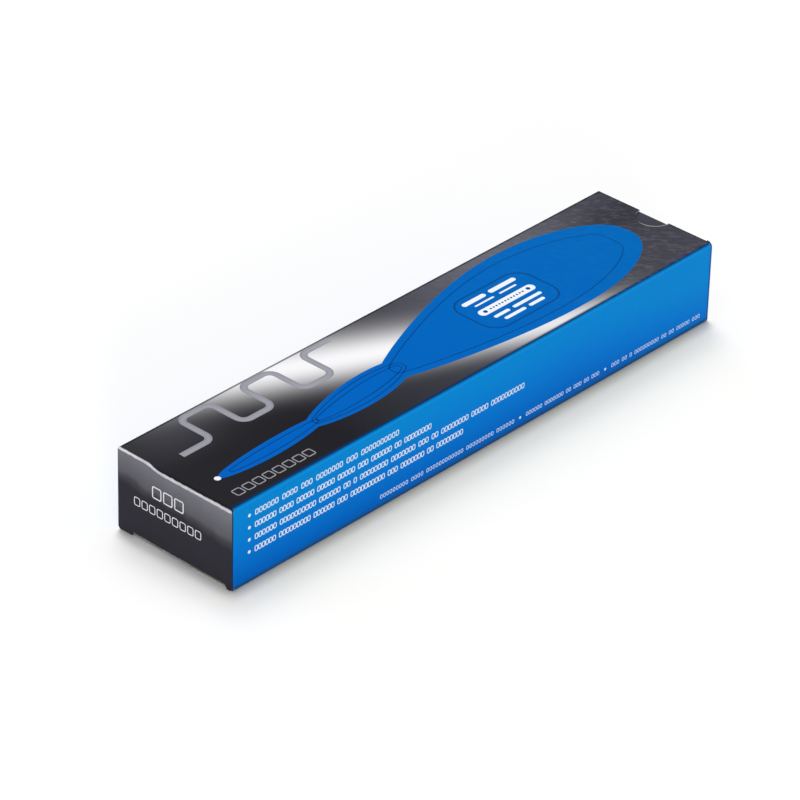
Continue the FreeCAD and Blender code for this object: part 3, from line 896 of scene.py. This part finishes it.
@dataclass
class TopPrint:
    """The top panel's print: a blue form of growing lobes, a grey pulse train and white marks."""

    blue: OffsetInk = OffsetInk(name="blue_ink_film", near="#0060c0", far="#0066b6", marks=0.05)
    line: OffsetInk = OffsetInk(name="dark_blue_line_ink", near="#034387", far="#045094")
    white: OffsetInk = OffsetInk(name="white_ink_film", near="#eef2f8", far="#eef2f8")
    grey: OffsetInk = OffsetInk(name="silver_grey_ink_film", near="#9a9aa4", far="#a4a4ae")
    lobes: tuple[Lobe, ...] = (Lobe(10.5, 66.0, 4.2, 0.45, 1.0, (0.5,)),
                               Lobe(54.0, 112.0, 8.0, 0.45, 1.2, (0.45, 0.75)),
                               Lobe(92.0, 235.0, 23.0, 0.44, 1.6, (0.82,)))
    middle: Ramp = (20.0, 190.0, 17.0, 27.5)        # the form's gently rising centre line
    steps: int = 400
    outline_steps: int = 128
    line_stroke: float = 0.45
    bluntness: float = 0.4          # below 1, an inner line has blunt ends
    line_length: float = 0.7        # an inner line's share of its lobe's length, at the least
    line_growth: float = 0.2        # and how much of its share of the height is added
    square: Inputs = (("Width", 3.6), ("Height", 3.6), ("Corner", 0.7), ("Stroke", 0.5))
    square_count: int = 8
    square_pitch: float = 4.85
    square_first: Point = (9.2, 6.3)
    sign_at: Point = (166.0, 26.0)
    sign: Inputs = (("Width", 38.0), ("Height", 24.0), ("Corner", 7.0), ("Stroke", 0.7),
                    ("Corner steps", 12))
    # the sign's bars: each one's place from the middle, its length and its height
    sign_bars: tuple[tuple[float, float, float, float], ...] = (
        (0.0, 0.0, 29.0, 4.0), (-8.5, 8.2, 12.0, 2.2), (6.5, 8.2, 14.0, 2.2),
        (-6.5, 4.9, 10.0, 0.9), (6.0, 4.9, 9.0, 0.9), (-8.0, -4.9, 8.0, 1.6),
        (5.5, -4.9, 15.0, 1.6), (-4.5, -8.2, 11.0, 1.6), (7.0, -8.2, 8.0, 1.6))
    tip: Point = (9.9, 16.9)
    tip_size: float = 2.5
    fibres: int = 12
    fibre_pitch: float = 1.55
    fibre_size: float = 0.9
    guide_reach: float = 11.4
    guide_size: float = 1.8

    def axis(self, rule: Rule, x: Node) -> Node:
        """Adds the height of the form's centre line at the distance x along the carton."""
        return rule.add("SMOOTHSTEP", x, *self.middle)

    def form_rule(self, ink: Material) -> Rule:
        """The rule for the blue form: a closed film whose two edges follow the lobes.

        Args:
            ink: the film's material.

        Returns:
            The rule.
        """
        rule = Rule("growing_lobes", {"Start": self.lobes[0].start, "End": self.lobes[-1].end,
                                      "Steps": self.steps, "Least": 0.0})
        block = rule.add("GeometryNodeMeshCube", {"Size": (1.0, 1.0, FILM),
                                                  "Vertices X": rule["Steps"],
                                                  "Vertices Y": 2, "Vertices Z": 2})
        along, side, up = rule.here()
        x = rule.add("LINEAR", along, -0.5, 0.5, rule["Start"], rule["End"])
        height = rule["Least"]
        for lobe in self.lobes:
            height = ("MAXIMUM", height, lobe.swell(rule, x))
        y = ("MULTIPLY_ADD", ("SIGN", side), height, self.axis(rule, x))
        return rule.end(rule.put(block, x, y, ("ADD", up, FILM_MIDDLE)), ink)

    def outline_rule(self, lobe: Lobe, ink: Material) -> Rule:
        """The rule for a thin dark line inside a lobe's edge.

        Args:
            lobe: the lobe.
            ink: the line's material.

        Returns:
            The rule.
        """
        rule = Rule(f"inner_line_{int(lobe.start)}", {"Share of height": 0.7,
                                                      "Share of length": 0.9,
                                                      "Stroke": self.line_stroke})
        circle = rule.add("GeometryNodeCurvePrimitiveCircle", {"Resolution": self.outline_steps,
                                                               "Radius": 1.0})
        along, side, _ = rule.here()
        middle, half = (lobe.start + lobe.end) / 2, (lobe.end - lobe.start) / 2
        x = rule.add("MULTIPLY_ADD", along, ("MULTIPLY", rule["Share of length"], half), middle)
        blunt = ("MULTIPLY", ("POWER", ("ABSOLUTE", side), self.bluntness), ("SIGN", side))
        y = ("MULTIPLY_ADD", blunt, ("MULTIPLY", lobe.swell(rule, x), rule["Share of height"]),
             self.axis(rule, x))
        return rule.end(rule.stroke(rule.put(circle, x, y)), ink)

    def build(self) -> None:
        """Prints the top panel."""
        blue, line, white, grey = (ink.material()
                                   for ink in (self.blue, self.line, self.white, self.grey))
        finish_film("top_blue_form", Face.TOP, [self.form_rule(blue).run()])
        lines = []
        for lobe in self.lobes:
            rule = self.outline_rule(lobe, line)
            lines += [
                rule.run(values={"Share of height": share,
                                 "Share of length": self.line_length + share * self.line_growth})
                for share in lobe.lines]
        finish_film("top_inner_lines", Face.TOP, lines, layer=1)
        finish_film("top_pulse_train", Face.TOP, [signal_rule(grey).run()])
        self.build_sign(white, line)
        left, up = self.square_first
        squares = [(left + self.square_pitch * at, up) for at in range(self.square_count)]
        finish_film("top_small_squares", Face.TOP,
                    [frame_rule(grey).run(squares, dict(self.square))])

    def build_sign(self, white: Material, dark: Material) -> None:
        """Prints a framed sign inside the largest lobe: a twelve-fibre connector face among bars.

        Args:
            white: the ink of the face and the bars about it.
            dark: the ink of the frame, the twelve fibres and the two guide holes.
        """
        x, y = self.sign_at
        plates = [(x + over, y + up) for over, up, _, _ in self.sign_bars]
        holes = [(x + self.guide_reach * side, y) for side in (-1, 1)]
        holes += [(x + (at - (self.fibres - 1) / 2) * self.fibre_pitch, y)
                  for at in range(self.fibres)]
        sizes = [(self.guide_size,) * 2] * 2 + [(self.fibre_size,) * 2] * self.fibres
        bars = bar_rule(white)
        tip = bars.run([self.tip], bars=[(self.tip_size,) * 2])
        border = frame_rule(dark).run([(x, y)], dict(self.sign))
        finish_film("top_sign_frame", Face.TOP, [border], layer=1)
        plate_marks = bars.run(plates, bars=[size for _, _, *size in self.sign_bars])
        finish_film("top_white_sign", Face.TOP, [plate_marks, tip], layer=1)
        finish_film("top_sign_holes", Face.TOP, [bar_rule(dark).run(holes, bars=sizes)], layer=2)


@dataclass
class Line:
    """One line of small outlined marks, grouped as words are."""

    start: float
    end: float
    height: float
    words: tuple[int, ...]
    gap: float = 0.8                # between words, as a share of the marks' pitch

    def marks(self) -> list[Point]:
        """Spreads the marks over the line.

        Returns:
            Their middles.
        """
        pitch = (self.end - self.start) / (sum(self.words) + self.gap * (len(self.words) - 1))
        points, at = [], self.start + pitch / 2
        for word in self.words:
            points += [(at + number * pitch, self.height) for number in range(word)]
            at += (word + self.gap) * pitch
        return points


@dataclass
class SidePrint:
    """The front side's print: four bulleted lines and a footer, as rows of small outlined marks."""

    white: OffsetInk = OffsetInk(name="white_side_ink_film", near="#e2eefb", far="#cfe2f6")
    lines: tuple[Line, ...] = (
        Line(10.6, 81.7, 27.4, (6, 4, 3, 7, 3, 10)),
        Line(10.6, 98.3, 22.5, (6, 4, 5, 5, 5, 3, 6, 2, 8)),
        Line(10.6, 147.2, 17.6, (6, 10, 6, 2, 1, 8, 7, 3, 2, 8, 5, 10)),
        Line(10.6, 115.0, 12.7, (6, 9, 6, 3, 10, 3, 7, 2, 8)),
    )
    footer: tuple[Line, ...] = (
        Line(72.5, 142.5, 4.6, (9, 4, 12, 9, 6)),
        Line(148.5, 188.5, 4.6, (6, 7, 2, 3, 2, 3)),
        Line(195.0, 245.0, 4.6, (3, 2, 1, 9, 2, 2, 5, 3)),
    )
    line_mark: Inputs = (("Width", 1.3), ("Height", 1.9), ("Corner", 0.4), ("Stroke", 0.42),
                         ("Corner steps", 2))
    footer_mark: Inputs = (("Width", 0.95), ("Height", 1.4), ("Corner", 0.3), ("Stroke", 0.27),
                           ("Corner steps", 2))
    bullet_before: float = 2.6
    bullet_size: float = 1.35
    separators: tuple[float, ...] = (145.5, 191.7)
    separator_size: float = 1.1

    def build(self) -> None:
        """Prints the front side."""
        ink = self.white.material()
        rule = frame_rule(ink)
        films = [rule.run([point for line in lines for point in line.marks()], dict(mark))
                 for lines, mark in ((self.lines, self.line_mark), (self.footer, self.footer_mark))]
        dots = [(line.start - self.bullet_before, line.height) for line in self.lines]
        dots += [(middle, self.footer[0].height) for middle in self.separators]
        sizes = ([(self.bullet_size,) * 2] * len(self.lines)
                 + [(self.separator_size,) * 2] * len(self.separators))
        films.append(bar_rule(ink).run(dots, bars=sizes))
        finish_film("side_small_marks", Face.FRONT, films)


@dataclass(frozen=True)
class Row:
    """A row of outlined marks on the near end."""

    middle: float
    height: float
    count: int
    pitch: float
    mark_width: float
    mark_height: float
    stroke: float


@dataclass
class EndPrint:
    """The near end's print: two rows of small outlined marks."""

    pale: OffsetInk = OffsetInk(name="pale_grey_ink_film", near="#f0f0f4", far="#f0f0f4")
    rows: tuple[Row, ...] = (Row(24.3, 23.1, 3, 5.3, 4.0, 4.4, 0.5),
                             Row(24.1, 15.6, 9, 3.65, 2.6, 3.1, 0.36))
    corner: float = 0.6

    def build(self) -> None:
        """Prints the near end."""
        rule = frame_rule(self.pale.material())
        films = []
        for row in self.rows:
            marks = [(row.middle + (at - (row.count - 1) / 2) * row.pitch, row.height)
                     for at in range(row.count)]
            films.append(rule.run(marks, {"Width": row.mark_width, "Height": row.mark_height,
                                          "Corner": self.corner, "Stroke": row.stroke}))
        finish_film("end_small_marks", Face.NEAR_END, films)


# ------------ the board itself

class Side(Enum):
    """Which side of the sheet a face of the carton belongs to."""

    PRINTED = 0
    INSIDE = 1
    EDGE = 2


@dataclass
class CartonShell:
    """The folded sheet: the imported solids' own shape, dressed outside, inside and on its edges."""

    smooth_below: float = 30.0
    thin: float = 1.15              # a face this near to the one behind it is the sheet's own
    crease: float = 0.8             # how far a lid's crease reaches from the hinged edge
    inset: float = 0.002            # how far inside the face the look through the sheet starts
    weld: float = 0.001
    ink: str = "#0b5cab"            # the blue that has crept over the cut edges
    inside: BareBoard = BareBoard(name="uncoated_paperboard_inside", pale="#dcdad4",
                                  shade="#c9c6be", fibre_per_mm=1.4)
    # the lids' cut edges: dark navy, partly ink on the edge and partly painted shade of the gaps
    # beside them
    gap_shade: BareBoard = BareBoard(name="ink_and_gap_shade_paperboard_edge", pale="#18253f",
                                  shade="#0d1628", fibre_per_mm=4.0)

    def side_of(self, face: bmesh.types.BMFace, tree: BVHTree) -> Side:
        """Tells the sheet's printed and inner sides and its cut edges apart.

        Args:
            face: a face of the solid.
            tree: the solid's faces, for finding the sheet's depth there.

        Returns:
            The side that the face belongs to.
        """
        centre = face.calc_center_median()
        start = centre - face.normal * (self.inset * TO_METRES)
        hit = tree.ray_cast(start, -face.normal, self.thin * TO_METRES)
        place = centre / TO_METRES
        if hit[0] is None:
            # across a lid's crease the sheet runs on, so an open lid shows bare board there
            off_crease = HEIGHT - place.z if place.x < 0 else place.z
            at_crease = off_crease < self.crease and LENGTH / 2 - abs(place.x) < self.crease
            cross_cut = abs(face.normal.y) > math.sin(math.radians(self.smooth_below))
            return Side.INSIDE if at_crease and not cross_cut else Side.EDGE
        # where the face lies between the carton's middle and its walls, each way
        outward = Vector((2 * place.x / LENGTH, 2 * place.y / WIDTH, 2 * place.z / HEIGHT - 1))
        return Side.PRINTED if face.normal.dot(outward) > 0 else Side.INSIDE

    def dress(self, node: str, body: str, finishes: tuple[Material, ...]) -> None:
        """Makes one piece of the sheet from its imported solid.

        Args:
            node: the solid's name.
            body: the body that it belongs to.
            finishes: the materials for the printed side, the inside and the edges.
        """
        sheet = bmesh.new()
        sheet.from_mesh(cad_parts[node].data)
        bmesh.ops.remove_doubles(sheet, verts=sheet.verts, dist=self.weld * TO_METRES)
        sheet.faces.ensure_lookup_table()
        sheet.normal_update()
        tree = BVHTree.FromBMesh(sheet)
        for face in sheet.faces:
            face.material_index = self.side_of(face, tree).value
            face.smooth = True
        limit = math.radians(self.smooth_below)
        for edge in sheet.edges:
            edge.smooth = edge.is_manifold and edge.calc_face_angle(math.pi) < limit
        mesh = bpy.data.meshes.new(f"{node}_board")
        sheet.to_mesh(mesh)
        sheet.free()
        for finish in finishes:
            mesh.materials.append(finish)
        raw = add_object(f"{node}_raw", mesh)
        raw.modifiers.new("flat_panels", "WEIGHTED_NORMAL").keep_sharp = True
        flat = take_mesh(raw)
        piece = add_object(f"{node}_board", flat)
        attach(piece, body)
        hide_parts(node)
        counts = [sum(1 for p in flat.polygons if p.material_index == side.value) for side in Side]
        LOG.info("%s: printed, inside and edge faces %s on %s", piece.name, counts, body)

    def build(self) -> None:
        """Dresses the sleeve and both lids."""
        inside = self.inside.material()
        edge = BareBoard(name="cut_paperboard_edge", pale="#b4b2ae", shade="#8b8986",
                         fibre_per_mm=4.0, margin=self.ink)
        crept = replace(self.inside, name="uncoated_paperboard_with_inked_rim", margin=self.ink)
        # the far lid's edges: the same ink and painted shade, with the blue crept over the front
        both = replace(self.gap_shade, name="two_ink_and_gap_shade_paperboard_edge", margin=self.ink)
        near = SilverFadePrint(name="near_end_silver_fade_on_paperboard")
        far = SilverFadePrint(name="far_end_silver_fade_on_paperboard", dark="#42424c", turned=True)
        self.dress("carton_sleeve", "sleeve", (PrintedBoard().material(), inside, edge.material()))
        self.dress("near_lid", "near_lid", (near.material(), inside, self.gap_shade.material()))
        self.dress("far_lid", "far_lid", (far.material(), crept.material(), both.material()))


# ------------ studio

@dataclass(frozen=True)
class SoftBox:
    """A round soft box: where it hangs, how wide it looks, and its share of the floor's light."""

    name: str
    azimuth: float
    elevation: float
    spread: float
    share: float


@dataclass
class Studio:
    """A white sweep under soft boxes, and the camera. Its lengths are in metres, its tint in mm."""

    camera_at: tuple[float, float, float] = (-1.087145, -0.968499, 0.919886)
    azimuth: float = -47.9639
    elevation: float = 32.0426
    roll: float = 1.5329
    lens: float = 217.743           # the focal length and the sensor's width, in millimetres
    sensor: float = 36.0
    sight: float = 50.0
    floor_half: float = 4.0
    sky: float = 0.42
    backdrop: float = 0.99
    bounce: float = 0.9
    distance: float = 5.0
    tint_fade: float = 8.0          # how far from the side its blue light on the floor has halved
    tint_end: float = 0.05          # the share below which nothing is left of it
    green_excess: float = 0.11
    blue_excess: float = 0.51
    beside: tuple[Point, ...] = ((-16.0, 26.0), (LENGTH + 10.0, LENGTH - 22.0))
    boxes: tuple[SoftBox, ...] = (
        SoftBox("overhead_box", 55.0, 84.5, 5.5, 0.315),
        SoftBox("high_back_box", 55.0, 68.0, 12.0, 0.16),
        SoftBox("back_box", 55.0, 57.0, 14.0, 0.08),
        SoftBox("low_back_box", 55.0, 45.0, 14.0, 0.02),
        SoftBox("front_box", -130.0, 9.0, 8.0, 0.065),
    )

    def build_world(self) -> None:
        """Makes the white surroundings: plain for the eye and for gloss, softer as light."""
        world = bpy.data.worlds.new("white_surroundings")
        bpy.context.scene.world = world
        world.use_nodes = True
        tree = world.node_tree
        tree.nodes.clear()
        ray = add_node(tree, "ShaderNodeLightPath").outputs
        direct = ("MAXIMUM", ("MAXIMUM", ray["Is Camera Ray"], ray["Is Glossy Ray"]),
                  ray["Is Transmission Ray"])
        strength = add_node(tree, "LINEAR", direct, 0.0, 1.0, self.sky, self.backdrop)
        sky = add_node(tree, "ShaderNodeBackground",
                       {"Color": (1.0, 1.0, 1.0, 1.0), "Strength": strength})
        add_node(tree, "ShaderNodeOutputWorld", {"Surface": sky})

    def floor_tone(self, tree: Tree) -> Node:
        """Adds the floor's white, a little warmer by the blue side to keep its shadow there grey.

        Args:
            tree: the floor material's node tree.

        Returns:
            A node that gives the colour.
        """
        on = BoardNodes.of(tree)
        # the side's blue light fades as the side looks lower from the floor
        away = on.add("MULTIPLY", on.y, -1.0 / self.tint_fade)
        fading = ("DIVIDE", 1.0, ("MAXIMUM", ("ADD", away, 1.0), 1.0))
        here = on.add("LINEAR", away, -0.1, 0.1)
        for low, high in self.beside:
            here = ("MULTIPLY", here, on.add("SMOOTHSTEP", on.x, low, high))
        share = on.add("MULTIPLY", on.add("LINEAR", fading, self.tint_end, 1.0), here)
        green, blue = (("DIVIDE", 1.0, ("MULTIPLY_ADD", share, excess, 1.0))
                       for excess in (self.green_excess, self.blue_excess))
        return on.add("ShaderNodeCombineColor", 1.0, green, blue)

    def build_floor(self) -> None:
        """Makes the white floor."""
        mesh = bpy.data.meshes.new("sweep")
        half = self.floor_half
        mesh.from_pydata([(-half, -half, 0), (half, -half, 0), (half, half, 0), (-half, half, 0)],
                         [], [(0, 1, 2, 3)])
        paint = bpy.data.materials.new("white_sweep")
        paint.use_nodes = True
        tree = paint.node_tree
        tree.nodes.clear()
        seen = add_node(tree, "ShaderNodeBsdfDiffuse", {"Color": self.floor_tone(tree)})
        bounce = add_node(tree, "ShaderNodeBsdfDiffuse", {"Color": (self.bounce,) * 3 + (1.0,)})
        ray = add_node(tree, "ShaderNodeLightPath")
        both = add_node(tree, "ShaderNodeMixShader",
                        {0: ray.outputs["Is Camera Ray"], 1: bounce, 2: seen})
        add_node(tree, "ShaderNodeOutputMaterial", {"Surface": both})
        mesh.materials.append(paint)
        add_object("sweep", mesh)

    def build_boxes(self) -> None:
        """Hangs the soft boxes, each turned to the carton and as strong as its share needs."""
        for lamp in self.boxes:
            azimuth, elevation = math.radians(lamp.azimuth), math.radians(lamp.elevation)
            level = math.cos(elevation)
            towards = Vector((level * math.cos(azimuth), level * math.sin(azimuth),
                              math.sin(elevation)))
            light = bpy.data.lights.new(lamp.name, "AREA")
            light.shape = "DISK"
            light.size = 2 * self.distance * math.tan(math.radians(lamp.spread))
            # the power that lights a white floor to that share of plain white
            light.energy = lamp.share * (math.pi * self.distance) ** 2 / math.sin(elevation)
            box = add_object(lamp.name, light)
            box.location = towards * self.distance
            box.rotation_euler = towards.to_track_quat("Z", "Y").to_euler()

    def build_camera(self) -> None:
        """Sets the camera up."""
        lens = bpy.data.cameras.new("camera")
        lens.lens, lens.sensor_width, lens.clip_end = self.lens, self.sensor, self.sight
        camera = add_object("camera", lens)
        azimuth, elevation, roll = (math.radians(a)
                                    for a in (self.azimuth, self.elevation, self.roll))
        turned = (Matrix.Rotation(azimuth, 4, "Z")
                  @ Matrix.Rotation(math.pi / 2 - elevation, 4, "X")
                  @ Matrix.Rotation(roll, 4, "Z"))
        camera.matrix_world = Matrix.Translation(self.camera_at) @ turned
        bpy.context.scene.camera = camera

    def build(self) -> None:
        """Makes the whole studio."""
        self.build_world()
        self.build_floor()
        self.build_boxes()
        self.build_camera()
        bpy.context.scene.view_settings.view_transform = "Standard"
        LOG.info("studio: %d soft boxes", len(self.boxes))


def main() -> None:
    """Builds the carton and its studio in order."""
    CartonShell().build()
    TopPrint().build()
    SidePrint().build()
    EndPrint().build()
    Studio().build()


if __name__ == "__main__":
    main()
